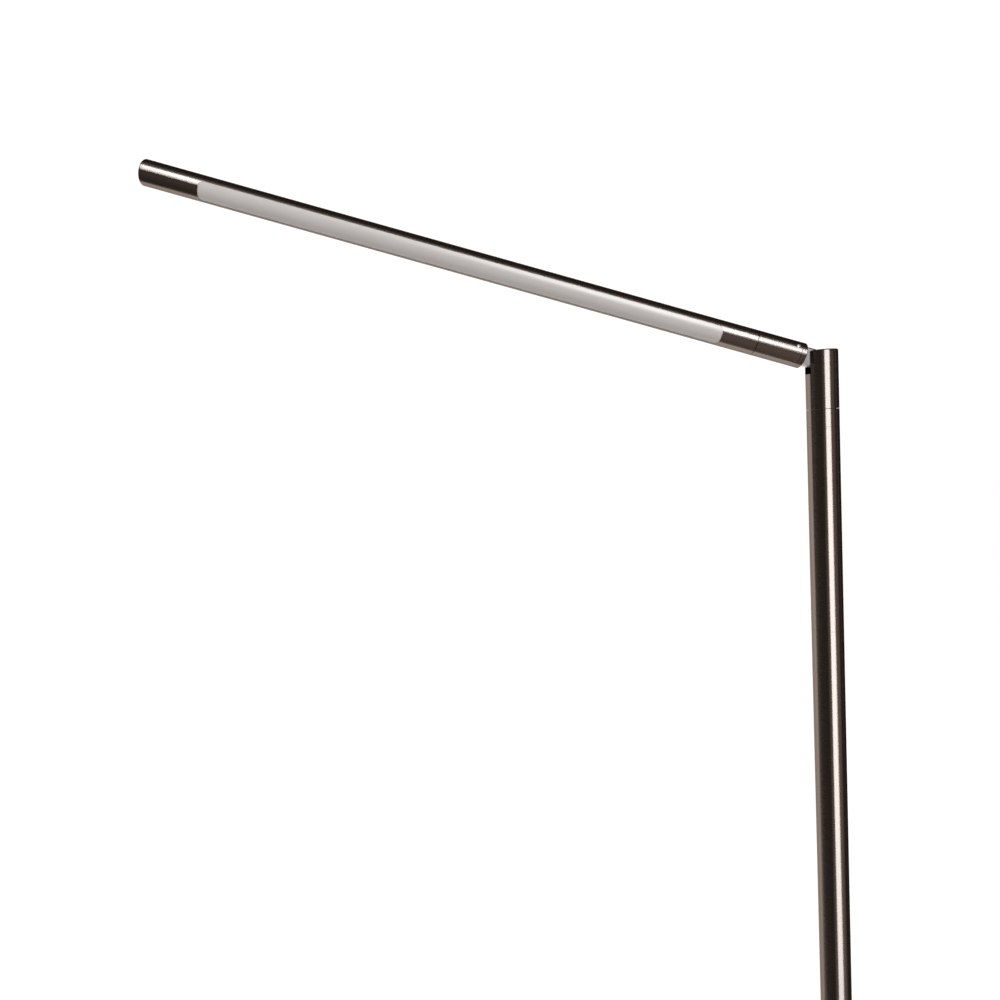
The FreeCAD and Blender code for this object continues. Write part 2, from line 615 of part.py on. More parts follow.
def bar_pieces():
    roll = "-bar_roll"
    shell = turned("shell", [
        ("arm_inside", "bar_start"), ("arm_radius - roll_bevel", "bar_start"),
        ("arm_radius", "bar_start + roll_bevel"), ("arm_radius", "tip_start"), ("arm_inside", "tip_start")])
    window = rounded_block("window", "window_width", "window_start", "window_end",
                           "arm_radius + tool_run", "window_corner")
    node(along_arm(cut("bar", shell, window, guide_hole("shell_guide")), roll), "bar_tube")

    node(along_arm(diffuser_piece(), roll), "diffuser")

    hub = tube("hub_ring", "arm_plug", "roll_radius + slide_gap", "hub_start", "hub_end")
    node(along_arm(cut("hub", hub, guide_hole("hub_guide")), roll), "bar_hub")
    guide = headless_screw("roll_guide", "guide_dia / 2", "arm_radius - roll_radius + groove_depth - 2 * seam_bevel",
                           "guide_tip_dia / 2", "groove_depth")
    place(guide, y="roll_radius - groove_depth + seam_bevel", z="roll_seam + roll_groove + groove_width / 2",
          axis="-1; 0; 0", turn=90)
    laid = doc.addObject("Part::Compound", "roll_guide_laid")
    laid.Links = [guide]
    node(along_arm(laid, roll), "bar_guide_screw")

    tip = turned("tip", [
        (0, "tip_start - tip_plug"), ("arm_plug", "tip_start - tip_plug"), ("arm_plug", "tip_start"),
        ("arm_radius", "tip_start"), ("arm_radius", "bar_end"), (0, "bar_end")])
    round_edge(tip, "arm_radius", "bar_end", "tip_round")
    node(along_arm(tip, roll), "tip_cap")
    light_pieces(roll)


def guide_hole(name):
    return cylinder(name, "guide_dia / 2 + slide_gap / 2", "arm_radius", y="roll_radius - slide_gap",
                    z="roll_seam + roll_groove + groove_width / 2", axis="-1; 0; 0", turn=90)


# Opal strip that fills the window, with a lip behind the tube wall all round.
def diffuser_piece():
    inner = "lip_outside - lens_wall"
    face_ring = tube("lens_face_ring", "lens_outside", inner, "window_start - tool_run", "window_end + tool_run")
    lip_ring = tube("lens_lip_ring", "lip_outside", inner, "window_start - tool_run", "window_end + tool_run")
    face_block = rounded_block("lens_face_block", "window_width - 2 * lens_gap", "window_start + lens_gap",
                               "window_end - lens_gap", "arm_radius", "window_corner - lens_gap")
    lip_block = rounded_block("lens_lip_block", "window_width + 2 * lens_lip", "window_start - lens_lip",
                              "window_end + lens_lip", "arm_radius", "window_corner + lens_lip")
    return joined("lens", shared("lens_face", face_ring, face_block), shared("lens_lip", lip_ring, lip_block))


def light_pieces(roll):
    length = "carrier_end - carrier_start"
    rod = cylinder("carrier_rod", "carrier_radius", length, z="carrier_start")
    half = block("carrier_half", "arm_dia", "arm_radius", length,
                 x="-arm_radius", y="board_height", z="carrier_start")
    groove = cylinder("carrier_way", "carrier_groove / 2", length, y="carrier_radius", z="carrier_start")
    node(along_arm(cut("rail", shared("carrier_section", rod, half), groove), roll), "led_carrier")

    board = block("board", "board_width", "board_height", "board_length", x="-board_width / 2", z="carrier_start")
    laid_board = doc.addObject("Part::Compound", "board_laid")
    laid_board.Links = [board]
    node(along_arm(laid_board, roll), "led_board")

    chips = []
    count = int((value("board_length") - 2 * value("chip_first")) / value("chip_pitch")) + 1
    for number in range(count):
        along = "carrier_start + chip_first - chip_length / 2 + %d * chip_pitch" % number
        chips.append(block("chip_%02d" % number, "chip_width", "chip_height", "chip_length",
                           x="-chip_width / 2", y="-chip_height", z=along))
    row = doc.addObject("Part::Compound", "chip_row")
    row.Links = chips
    node(along_arm(row, roll), "led_chips")

    wire = cylinder("bar_wire", "wire_dia / 2", "carrier_start - roll_end - 2 * body_gap", z="roll_end + body_gap")
    laid_wire = doc.addObject("Part::Compound", "bar_wire_laid")
    laid_wire.Links = [wire]
    node(along_arm(laid_wire, roll), "bar_lead")


# ---- check and write ----

def check_model():
    for piece in doc.Objects:
        if "Invalid" in piece.State or "Error" in piece.State:
            raise RuntimeError("failed object: %s %s" % (piece.Name, piece.State))
    for piece in nodes:
        if piece.Shape.isNull() or not piece.Shape.isValid() or not piece.Shape.Solids:
            raise RuntimeError("bad shape: " + piece.Label)


def write_parts():
    os.makedirs("parts", exist_ok=True)
    for piece in nodes:
        piece.Shape.exportStep("parts/%s.step" % piece.Label)
        print("%-20s solids %3d  volume %10.1f mm3" % (piece.Label, len(piece.Shape.Solids), piece.Shape.Volume))


fill_sheet()
base_pieces()
pole_pieces()
swivel_pieces()
head_pieces()
arm_pieces()
bar_pieces()
doc.recompute()
check_model()
write_parts()
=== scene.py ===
import json
import math
import bmesh
import bpy
from mathutils import Matrix, Vector

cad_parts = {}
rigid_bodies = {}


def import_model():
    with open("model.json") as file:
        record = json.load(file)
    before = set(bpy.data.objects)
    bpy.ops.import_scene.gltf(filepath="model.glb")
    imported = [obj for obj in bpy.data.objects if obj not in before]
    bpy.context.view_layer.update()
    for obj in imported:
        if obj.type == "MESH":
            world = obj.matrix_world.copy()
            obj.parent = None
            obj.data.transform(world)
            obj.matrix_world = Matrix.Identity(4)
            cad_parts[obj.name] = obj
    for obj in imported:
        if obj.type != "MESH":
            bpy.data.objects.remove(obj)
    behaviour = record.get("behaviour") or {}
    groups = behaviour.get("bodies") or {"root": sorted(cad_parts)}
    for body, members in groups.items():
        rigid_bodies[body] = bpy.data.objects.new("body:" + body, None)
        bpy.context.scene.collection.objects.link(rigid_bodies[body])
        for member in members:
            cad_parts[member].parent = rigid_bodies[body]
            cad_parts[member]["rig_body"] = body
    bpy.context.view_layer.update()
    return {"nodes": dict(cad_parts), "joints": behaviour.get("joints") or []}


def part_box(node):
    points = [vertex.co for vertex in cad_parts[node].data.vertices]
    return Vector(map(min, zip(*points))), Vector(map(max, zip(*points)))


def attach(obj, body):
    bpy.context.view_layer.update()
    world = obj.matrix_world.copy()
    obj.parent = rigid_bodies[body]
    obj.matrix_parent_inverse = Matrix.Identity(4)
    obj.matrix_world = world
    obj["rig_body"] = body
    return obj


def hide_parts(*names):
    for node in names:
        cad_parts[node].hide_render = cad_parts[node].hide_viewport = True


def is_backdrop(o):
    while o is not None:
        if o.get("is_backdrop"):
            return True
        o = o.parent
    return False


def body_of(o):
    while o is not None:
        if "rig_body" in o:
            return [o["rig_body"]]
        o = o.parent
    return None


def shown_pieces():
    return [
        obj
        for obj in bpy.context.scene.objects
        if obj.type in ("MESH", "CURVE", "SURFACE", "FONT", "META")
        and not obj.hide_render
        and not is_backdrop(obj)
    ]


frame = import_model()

mm = 0.001
joints = {joint["name"]: joint for joint in frame["joints"]}
pin = Vector(joints["arm_tilt"]["pos_m"])
poleAxis = Vector((0, 0, 1))
armAxis = Vector(joints["bar_roll"]["axis"])
smoothAngle = 28  # degrees between faces, below which a piece is shaded smooth

# A wide view from just under the tilt joint. Angles are in degrees, and tilt rolls the frame.
cameraSettings = {
    "place": (-0.3338, -0.7831, 1.3468),
    "turn": 0.415,
    "pitchDown": 5.086,
    "tilt": -3.519,
    "lens": 27.0,
    "sensor": 36.0,
    "nearest": 0.02,
}


def addCamera(view):
    bpy.ops.object.camera_add()
    camera = bpy.context.object
    camera.name = "mainCamera"
    camera.data.sensor_width = view["sensor"]
    camera.data.lens = view["lens"]
    camera.data.clip_start = view["nearest"]
    turn = Matrix.Rotation(math.radians(view["turn"]), 4, "Z")
    lift = Matrix.Rotation(math.radians(90 - view["pitchDown"]), 4, "X")
    tilt = Matrix.Rotation(math.radians(view["tilt"]), 4, "Z")
    camera.matrix_world = Matrix.Translation(view["place"]) @ turn @ lift @ tilt
    bpy.context.scene.camera = camera


# Turns an sRGB hex colour into the linear values that a node takes.
def linearColour(text):
    parts = [int(text[i:i + 2], 16) / 255 for i in (1, 3, 5)]
    return [p / 12.92 if p <= 0.04045 else ((p + 0.055) / 1.055) ** 2.4 for p in parts] + [1.0]


# Adds one node. Settings are its own properties; inputs are numbers, colours or
# other nodes' sockets, by the name or number of the socket that they go into.
def addNode(tree, kind, settings=None, inputs=None):
    node = tree.nodes.new(kind)
    for name, given in (settings or {}).items():
        setattr(node, name, given)
    for name, given in (inputs or {}).items():
        if isinstance(given, bpy.types.NodeSocket):
            tree.links.new(given, node.inputs[name])
        else:
            node.inputs[name].default_value = given
    return node


# A material with one shader. Values that are the same all over sit on the shader.
def newMaterial(name, shader):
    material = bpy.data.materials.new(name)
    material.use_nodes = True
    tree = material.node_tree
    tree.nodes.clear()
    surface = addNode(tree, "ShaderNodeBsdfPrincipled", None, shader)
    addNode(tree, "ShaderNodeOutputMaterial", None, {"Surface": surface.outputs[0]})
    return tree, surface


# Spreads a pattern, which lies mostly between 0.3 and 0.7, over a narrow range of one
# value, such as roughness.
def wearInto(tree, surface, socket, pattern, low, high):
    spread = addNode(tree, "ShaderNodeMapRange", None, {
        "Value": pattern, "From Min": 0.3, "From Max": 0.7, "To Min": low, "To Max": high})
    tree.links.new(spread.outputs[0], surface.inputs[socket])


def blendInto(tree, surface, pattern, dark, light):
    mix = addNode(tree, "ShaderNodeMix", {"data_type": "RGBA"}, {
        0: pattern, 6: linearColour(dark), 7: linearColour(light)})
    tree.links.new(mix.outputs[2], surface.inputs["Base Color"])


def bumpInto(tree, surface, pattern, strength, depth):
    bump = addNode(tree, "ShaderNodeBump", None, {
        "Height": pattern, "Strength": strength, "Distance": depth})
    tree.links.new(bump.outputs[0], surface.inputs["Normal"])


# Gives the place along and out from an axis through the tilt pin, the direction round
# the axis, and the place from the pin.
def roundAxis(tree, axis):
    place = addNode(tree, "ShaderNodeTexCoord")
    reach = addNode(tree, "ShaderNodeVectorMath", {"operation": "SUBTRACT"}, {
        0: place.outputs["Object"], 1: pin})
    along = addNode(tree, "ShaderNodeVectorMath", {"operation": "DOT_PRODUCT"}, {
        0: reach.outputs[0], 1: axis})
    onAxis = addNode(tree, "ShaderNodeVectorMath", {"operation": "SCALE"}, {
        0: axis, "Scale": along.outputs["Value"]})
    out = addNode(tree, "ShaderNodeVectorMath", {"operation": "SUBTRACT"}, {
        0: reach.outputs[0], 1: onAxis.outputs[0]})
    radius = addNode(tree, "ShaderNodeVectorMath", {"operation": "LENGTH"}, {0: out.outputs[0]})
    around = addNode(tree, "ShaderNodeVectorMath", {"operation": "CROSS_PRODUCT"}, {
        0: axis, 1: reach.outputs[0]})
    turned = addNode(tree, "ShaderNodeVectorTransform", {
        "vector_type": "VECTOR", "convert_from": "OBJECT", "convert_to": "WORLD"}, {
        0: around.outputs[0]})
    line = addNode(tree, "ShaderNodeCombineXYZ", None, {
        0: along.outputs["Value"], 1: radius.outputs["Value"]})
    return line.outputs[0], turned.outputs[0], reach.outputs[0]


# Turned steel, belt-polished round the tube and plated with black nickel. The fine
# lines run round it, so a lamp's reflection is drawn out along the tube in a sharp band.
# The real lines are about 0.05 mm apart, too fine to show, so they are drawn coarser.
def blackNickel(name, axis, finish):
    tree, surface = newMaterial(name, {
        "Metallic": 1.0, "Roughness": finish["roughness"], "Anisotropic": finish["anisotropic"],
        "Anisotropic Rotation": 0.25, "Specular Tint": linearColour(finish["rim"])})
    line, around, reach = roundAxis(tree, axis)
    # The tangent runs round the tube, and its quarter turn draws the shine out along it.
    tree.links.new(around, surface.inputs["Tangent"])
    lines = addNode(tree, "ShaderNodeTexNoise", None, {
        "Vector": line, "Scale": 1 / (finish["lineSpacing"] * mm), "Detail": 3.0, "Roughness": 0.6})
    cloud = addNode(tree, "ShaderNodeTexNoise", None, {
        "Vector": reach, "Scale": 1 / (finish["cloudSize"] * mm), "Detail": 2.0})
    blendInto(tree, surface, cloud.outputs["Fac"], finish["dark"], finish["light"])
    wearInto(tree, surface, "Roughness", lines.outputs["Fac"], finish["roughness"] - finish["wear"],
             finish["roughness"] + finish["wear"])
    bumpInto(tree, surface, lines.outputs["Fac"], finish["bump"], finish["depth"] * mm)


# Black nickel: a warm, dark mirror.
nickelSettings = {
    "roughness": 0.28,
    "anisotropic": 1.0,
    "lineSpacing": 0.9,
    "cloudSize": 90.0,
    "dark": "#6B625D",
    "light": "#6F6661",
    "rim": "#B8B4B0",
    "wear": 0.012,
    "bump": 0.015,
    "depth": 0.02,
}

# Bright nickel on the tongue: paler, and softer in its shine.
paleNickelSettings = {
    "roughness": 0.30,
    "anisotropic": 0.5,
    "lineSpacing": 0.6,
    "cloudSize": 12.0,
    "dark": "#8F8985",
    "light": "#9A9490",
    "rim": "#E0E0E0",
    "wear": 0.012,
    "bump": 0.06,
    "depth": 0.02,
}


# Plain metals, plastics and coatings: a cloudy colour, and grain from the way it was made.
# Sizes are in millimetres. Ground, plated and moulded grain is finer than this in fact,
# and is drawn as coarse as it needs to show.
def grainyMaterial(name, finish):
    tree, surface = newMaterial(name, {"Metallic": finish.get("metallic", 0.0)})
    place = addNode(tree, "ShaderNodeTexCoord").outputs["Object"]
    cloud = addNode(tree, "ShaderNodeTexNoise", None, {
        "Vector": place, "Scale": 1 / (finish["cloudSize"] * mm), "Detail": 2.0})
    grain = addNode(tree, "ShaderNodeTexNoise", None, {
        "Vector": place, "Scale": 1 / (finish["grainSize"] * mm), "Detail": 4.0, "Roughness": 0.6})
    blendInto(tree, surface, cloud.outputs["Fac"], finish["dark"], finish["light"])
    wearInto(tree, surface, "Roughness", grain.outputs["Fac"], finish["smooth"], finish["rough"])
    # The grain is a tenth as deep as it is wide.
    bumpInto(tree, surface, grain.outputs["Fac"], finish["bump"], finish["grainSize"] * mm * 0.1)


grainySettings = {
    # Ground steel pin: bright, with faint grinding marks.
    "groundSteel": {"metallic": 1.0, "dark": "#B9B6B2", "light": "#C8C5C1", "cloudSize": 6.0,
                    "grainSize": 0.25, "smooth": 0.20, "rough": 0.32, "bump": 0.10},
    # Zinc-plated screws: pale, slightly mottled and a little blue.
    "zincPlate": {"metallic": 1.0, "dark": "#C9CBD0", "light": "#DDDEE0", "cloudSize": 2.5,
                  "grainSize": 0.3, "smooth": 0.24, "rough": 0.38, "bump": 0.12},
    # Sand-cast iron weight: dark grey and pitted by the mould's grit.
    "castIron": {"metallic": 1.0, "dark": "#3A3836", "light": "#4C4946", "cloudSize": 25.0,
                 "grainSize": 1.2, "smooth": 0.55, "rough": 0.80, "bump": 0.60},
    # Moulded rubber pad: matt and nearly black, with a fine grain.
    "mouldedRubber": {"dark": "#161616", "light": "#1E1D1C", "cloudSize": 20.0,
                      "grainSize": 0.8, "smooth": 0.70, "rough": 0.90, "bump": 0.45},
    # Moulded black nylon bush: a soft sheen over a fine spark-eroded grain.
    "mouldedNylon": {"dark": "#141414", "light": "#1C1C1B", "cloudSize": 8.0,
                     "grainSize": 0.35, "smooth": 0.42, "rough": 0.55, "bump": 0.25},
    # Turned white acetal bush: waxy and smooth.
    "turnedAcetal": {"dark": "#DAD8D2", "light": "#E4E2DC", "cloudSize": 10.0,
                     "grainSize": 0.3, "smooth": 0.28, "rough": 0.38, "bump": 0.10},
    # Extruded PVC sheath of the leads: dull black.
    "extrudedPvc": {"dark": "#1A1A1A", "light": "#232322", "cloudSize": 15.0,
                    "grainSize": 0.3, "smooth": 0.38, "rough": 0.50, "bump": 0.15},
    # Mill-finish aluminium extrusion of the carrier: pale grey and soft.
    "extrudedAluminium": {"metallic": 1.0, "dark": "#B4B6B8", "light": "#C4C6C8", "cloudSize": 14.0,
                          "grainSize": 0.4, "smooth": 0.34, "rough": 0.46, "bump": 0.12},
    # White solder mask of the LED board: glossy paint over glass cloth.
    "solderMask": {"dark": "#E6E6E2", "light": "#F0F0EC", "cloudSize": 9.0,
                   "grainSize": 0.5, "smooth": 0.22, "rough": 0.34, "bump": 0.08},
    # Silicone over the LED phosphor: egg-yolk yellow and glossy.
    "phosphorResin": {"dark": "#D9B23C", "light": "#E5C455", "cloudSize": 1.2,
                      "grainSize": 0.2, "smooth": 0.20, "rough": 0.34, "bump": 0.10},
}

# Extruded opal PMMA with a satin skin: milky, lit from inside its own depth, and a
# broad soft gloss. The flow lines of the die run along it. Sizes are in millimetres.
opalSettings = {
    "dark": "#C6C2BF",
    "light": "#CCC8C5",
    "cloudSize": 60.0,
    "lineSpacing": 1.4,
    "lineStretch": 50.0,
    "roughness": 0.38,
    "wear": 0.03,
    "ior": 1.49,
    "gloss": 0.3,
    "scatterShare": 0.6,
    "scatterTint": (1.0, 0.95, 0.9),
    "scatterDepth": 2.5,
    "bump": 0.05,
    "depth": 0.02,
}


def opalAcrylic(name, finish):
    tree, surface = newMaterial(name, {
        "IOR": finish["ior"], "Specular IOR Level": finish["gloss"],
        "Subsurface Weight": finish["scatterShare"], "Subsurface Radius": finish["scatterTint"],
        "Subsurface Scale": finish["scatterDepth"] * mm})
    line, around, reach = roundAxis(tree, armAxis)
    stretched = addNode(tree, "ShaderNodeVectorMath", {"operation": "MULTIPLY"}, {
        0: line, 1: (1 / finish["lineStretch"], 1.0, 1.0)})
    lines = addNode(tree, "ShaderNodeTexNoise", None, {
        "Vector": stretched.outputs[0], "Scale": 1 / (finish["lineSpacing"] * mm), "Detail": 2.0})
    cloud = addNode(tree, "ShaderNodeTexNoise", None, {
        "Vector": reach, "Scale": 1 / (finish["cloudSize"] * mm), "Detail": 2.0})
    blendInto(tree, surface, cloud.outputs["Fac"], finish["dark"], finish["light"])
    wearInto(tree, surface, "Roughness", lines.outputs["Fac"], finish["roughness"] - finish["wear"],
             finish["roughness"] + finish["wear"])
    bumpInto(tree, surface, lines.outputs["Fac"], finish["bump"], finish["depth"] * mm)


def makeMaterials():
    blackNickel("blackNickelPole", poleAxis, nickelSettings)
    blackNickel("blackNickelArm", armAxis, nickelSettings)
    blackNickel("paleNickelTongue", armAxis, paleNickelSettings)
    for name, finish in grainySettings.items():
        grainyMaterial(name, finish)
    opalAcrylic("opalAcrylic", opalSettings)


# Adds a primitive with nothing else selected.
def lonePrimitive(add, **sizes):
    bpy.ops.object.select_all(action="DESELECT")
    add(**sizes)
    return bpy.context.object


# Selects the faces, edges or vertices whose middle and normal pass the test.
def choose(piece, kind, test):
    mesh = bmesh.from_edit_mesh(piece.data)
    bpy.ops.mesh.select_mode(type=kind)
    bpy.ops.mesh.select_all(action="DESELECT")
    if kind == "FACE":
        for face in mesh.faces:
            if test(face.calc_center_median(), face.normal):
                face.select_set(True)
    elif kind == "EDGE":
        for edge in mesh.edges:
            if test(*[vertex.co for vertex in edge.verts]):
                edge.select_set(True)
    else:
        for vertex in mesh.verts:
            if test(vertex.co):
                vertex.select_set(True)
    mesh.select_flush_mode()
    bmesh.update_edit_mesh(piece.data)


# Two lengths are the same within a fiftieth of a millimetre.
def near(a, b):
    return abs(a - b) < 0.02 * mm


def fromAxis(point):
    return math.hypot(point.x, point.y)


# A ring of edges at one height and one distance from the piece's own Z axis.
def chooseRing(piece, radius, height):
    choose(piece, "EDGE", lambda a, b: all(
        near(p.z, height) and near(fromAxis(p), radius) for p in (a, b)))


def roundRing(piece, radius, height, size, steps):
    chooseRing(piece, radius, height)
    bpy.ops.mesh.bevel(offset=size, offset_type="OFFSET", segments=steps, affect="EDGES", profile=0.5)


# A round bar on its own Z axis, left in edit mode. Sizes are in metres.
def startBar(radius, low, high, sides):
    piece = lonePrimitive(
        bpy.ops.mesh.primitive_cylinder_add, vertices=sides, radius=radius,
        depth=high - low, location=(0, 0, (low + high) / 2), end_fill_type="NGON")
    bpy.ops.object.transform_apply(location=True, rotation=True, scale=True)
    bpy.ops.object.mode_set(mode="EDIT")
    return piece


# Bores a bar from end to end: both ends are inset by the wall and bridged.
def boreThrough(piece, wall):
    choose(piece, "FACE", lambda middle, normal: abs(normal.z) > 0.9)
    bpy.ops.mesh.inset(thickness=wall, use_individual=True)
    bpy.ops.mesh.bridge_edge_loops()


# Sinks a round recess into the end face at one height, leaving a wall round it.
def recess(piece, height, wall, depth):
    choose(piece, "FACE", lambda middle, normal: near(middle.z, height) and abs(normal.z) > 0.9
           and fromAxis(middle) < 0.1 * mm)
    bpy.ops.mesh.inset(thickness=wall)
    bpy.ops.mesh.extrude_region_move(TRANSFORM_OT_translate={"value": (0, 0, depth)})


# Cuts a tool's shape out of a piece, or joins it on, and removes the tool.
def cutAway(piece, cutter, operation="DIFFERENCE"):
    bpy.ops.object.select_all(action="DESELECT")
    bpy.context.view_layer.objects.active = piece
    piece.select_set(True)
    change = piece.modifiers.new("cut", "BOOLEAN")
    change.operation = operation
    change.solver = "EXACT"
    change.object = cutter
    bpy.ops.object.modifier_apply(modifier=change.name)
    bpy.data.objects.remove(cutter)


# Drills a round hole from a point, along a direction.
def drill(piece, radius, start, direction, length, sides=48):
    direction = Vector(direction).normalized()
    cutter = lonePrimitive(
        bpy.ops.mesh.primitive_cylinder_add, vertices=sides, radius=radius, depth=length)
    turn = direction.to_track_quat("Z", "Y").to_matrix().to_4x4()
    cutter.matrix_world = Matrix.Translation(Vector(start) + direction * length / 2) @ turn
    cutAway(piece, cutter)


def boxCutter(low, high):
    low, high = Vector(low), Vector(high)
    cutter = lonePrimitive(bpy.ops.mesh.primitive_cube_add, size=1, location=(low + high) / 2)
    cutter.scale = high - low
    bpy.ops.object.transform_apply(location=True, rotation=True, scale=True)
    return cutter


# A block that runs along Z with four round corners seen from its front (-Y).
def windowCutter(width, start, end, depth, corner, steps):
    cutter = boxCutter((-width / 2, -depth, start), (width / 2, 0, end))
    bpy.ops.object.mode_set(mode="EDIT")
    choose(cutter, "EDGE", lambda a, b: near(a.x, b.x) and near(a.z, b.z))
    bpy.ops.mesh.bevel(offset=corner, segments=steps, affect="EDGES")
    bpy.ops.object.mode_set(mode="OBJECT")
    return cutter


# Takes the sharpness off every edge that turns more than an angle.
def softenEdges(piece, width, angle=40, steps=2):
    bpy.ops.object.select_all(action="DESELECT")
    bpy.context.view_layer.objects.active = piece
    piece.select_set(True)
    change = piece.modifiers.new("soften", "BEVEL")
    change.width = width
    change.segments = steps
    change.limit_method = "ANGLE"
    change.angle_limit = math.radians(angle)
    bpy.ops.object.modifier_apply(modifier=change.name)


# Names and finishes a piece: its place goes into its mesh, it is shaded smooth, gets
# its material and slot, and rides on a body in place of the nodes that it stands for.
def finishPiece(piece, name, material, body, nodes, lay=None):
    if bpy.context.mode != "OBJECT":
        bpy.ops.object.mode_set(mode="OBJECT")
    bpy.ops.object.select_all(action="DESELECT")
    bpy.context.view_layer.objects.active = piece
    piece.select_set(True)
    piece.name = name
    piece.data.name = name
    if lay is not None:
        piece.matrix_world = lay @ piece.matrix_world
    bpy.ops.object.transform_apply(location=True, rotation=True, scale=True)
    bpy.ops.object.shade_smooth_by_angle(angle=math.radians(smoothAngle))
    even = piece.modifiers.new("evenShading", "WEIGHTED_NORMAL")
    even.weight = 100
    even.keep_sharp = True
    bpy.ops.object.modifier_apply(modifier=even.name)
    piece.data.materials.clear()
    piece.data.materials.append(bpy.data.materials[material])
    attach(piece, body)
    if nodes:
        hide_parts(*nodes)
    return piece


# The pole: three tubes and the swivel collar on top of them, with fine rounded seams.
poleSettings = {
    "sides": 256,
    "wall": 1.5 * mm,
    "seamRound": 0.25 * mm,
    "collarWall": 7.9 * mm,
}


def makePole(sizes):
    for name in ("pole_lower", "pole_middle", "pole_upper", "swivel_collar"):
        low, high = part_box(name)
        piece = startBar(high.x, low.z, high.z, sizes["sides"])
        boreThrough(piece, sizes["collarWall"] if name == "swivel_collar" else sizes["wall"])
        for height in (low.z, high.z):
            roundRing(piece, high.x, height, sizes["seamRound"], 2)
        finishPiece(piece, name + "Tube", "blackNickelPole", "stand", [name])
    print("pole done")


# The base: a spun cover over the weight, a rubber pad, and the bush for the cord.
baseSettings = {
    "sides": 320,
    "sheet": 1.5 * mm,
    "topRound": 4.0 * mm,
    "footRound": 0.3 * mm,
    "studBore": 5.05 * mm,
    "inletBore": 4.0 * mm,
    "inletHeight": 8.5 * mm,
    "inletLength": 20.0 * mm,
    "padSides": 160,
    "padRound": 0.8 * mm,
}

bushSettings = {
    "sides": 64,
    "bore": 2.6 * mm,
    "body": 3.95 * mm,
    "flange": 5.5 * mm,
    "flangeLength": 2.0 * mm,
    "lip": 0.5 * mm,
}


def makeBase(sizes, bushSizes):
    low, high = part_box("base_cover")
    radius = high.x
    cover = startBar(radius, low.z, high.z, sizes["sides"])
    recess(cover, low.z, sizes["sheet"], high.z - low.z - sizes["sheet"])
    roundRing(cover, radius - sizes["sheet"], high.z - sizes["sheet"], sizes["topRound"] - sizes["sheet"], 4)
    roundRing(cover, radius, high.z, sizes["topRound"], 8)
    roundRing(cover, radius, low.z, sizes["footRound"], 2)
    bpy.ops.object.mode_set(mode="OBJECT")
    drill(cover, sizes["studBore"], (0, 0, low.z), poleAxis, high.z)
    drill(cover, sizes["inletBore"], (radius - 3 * sizes["sheet"], 0, sizes["inletHeight"]), (1, 0, 0),
          sizes["inletLength"])
    finishPiece(cover, "baseCoverShell", "blackNickelPole", "stand", ["base_cover"])

    low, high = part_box("floor_pad")
    pad = startBar(high.x, low.z, high.z, sizes["padSides"])
    roundRing(pad, high.x, high.z, sizes["padRound"], 3)
    roundRing(pad, high.x, low.z, sizes["padRound"], 3)
    finishPiece(pad, "floorPadDisc", "mouldedRubber", "stand", ["floor_pad"])

    low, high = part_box("cord_inlet_bush")
    length = high.x - low.x
    bush = startBar(bushSizes["body"], 0, length - bushSizes["flangeLength"], bushSizes["sides"])
    choose(bush, "FACE", lambda middle, normal: normal.z > 0.9)
    # The end face is drawn out on the spot, widened to the flange, and drawn out again.
    bpy.ops.mesh.extrude_region_move(TRANSFORM_OT_translate={"value": (0, 0, 0)})
    widen = bushSizes["flange"] / bushSizes["body"]
    bpy.ops.transform.resize(value=(widen, widen, 1))
    bpy.ops.mesh.extrude_region_move(TRANSFORM_OT_translate={"value": (0, 0, bushSizes["flangeLength"])})
    roundRing(bush, bushSizes["flange"], length, bushSizes["lip"], 3)
    bpy.ops.object.mode_set(mode="OBJECT")
    drill(bush, bushSizes["bore"], (0, 0, -mm), poleAxis, length + 2 * mm)
    lay = Matrix.Translation((low.x, 0, (low.z + high.z) / 2)) @ Matrix.Rotation(math.radians(90), 4, "Y")
    finishPiece(bush, "cordInletBush", "mouldedNylon", "stand", ["cord_inlet_bush"], lay)
    print("base done")


# The head: a cap with a slot for the tongue, the pin that the arm tilts on, and the
# friction washers that hold it at any angle.
headSettings = {
    "sides": 256,
    "topRound": 1.6 * mm,
    "footRound": 0.4 * mm,
    "flangeBore": 13.05 * mm,
    "flangeRoof": 1.6 * mm,
    "bushBore": 11.05 * mm,
    "chamberRoof": 31.7 * mm,
    "slotWidth": 14.4 * mm,
    "slotDrop": 12.4 * mm,
    "slotBack": 10.4 * mm,
    "slotEdge": 0.25 * mm,
    "passage": 3.5 * mm,
    "passageOffset": 5.0 * mm,
    "passageLength": 12.0 * mm,
    "pinBore": 3.025 * mm,
    "pinFront": 12.55 * mm,
    "pinLength": 40.0 * mm,
    "screwBore": 2.03 * mm,
    "screwHeight": 20.9 * mm,
    "screwLength": 10.0 * mm,
}

pinSettings = {
    "sides": 64,
    "radius": 3.0 * mm,
    "edge": 0.3 * mm,
    "slot": 1.2 * mm,
    "slotLength": 10.0 * mm,
    "washerSides": 96,
    "washerRadius": 8.0 * mm,
    "washerBore": 3.05 * mm,
    "washerEdge": 0.15 * mm,
    "washerGap": 0.05 * mm,
}


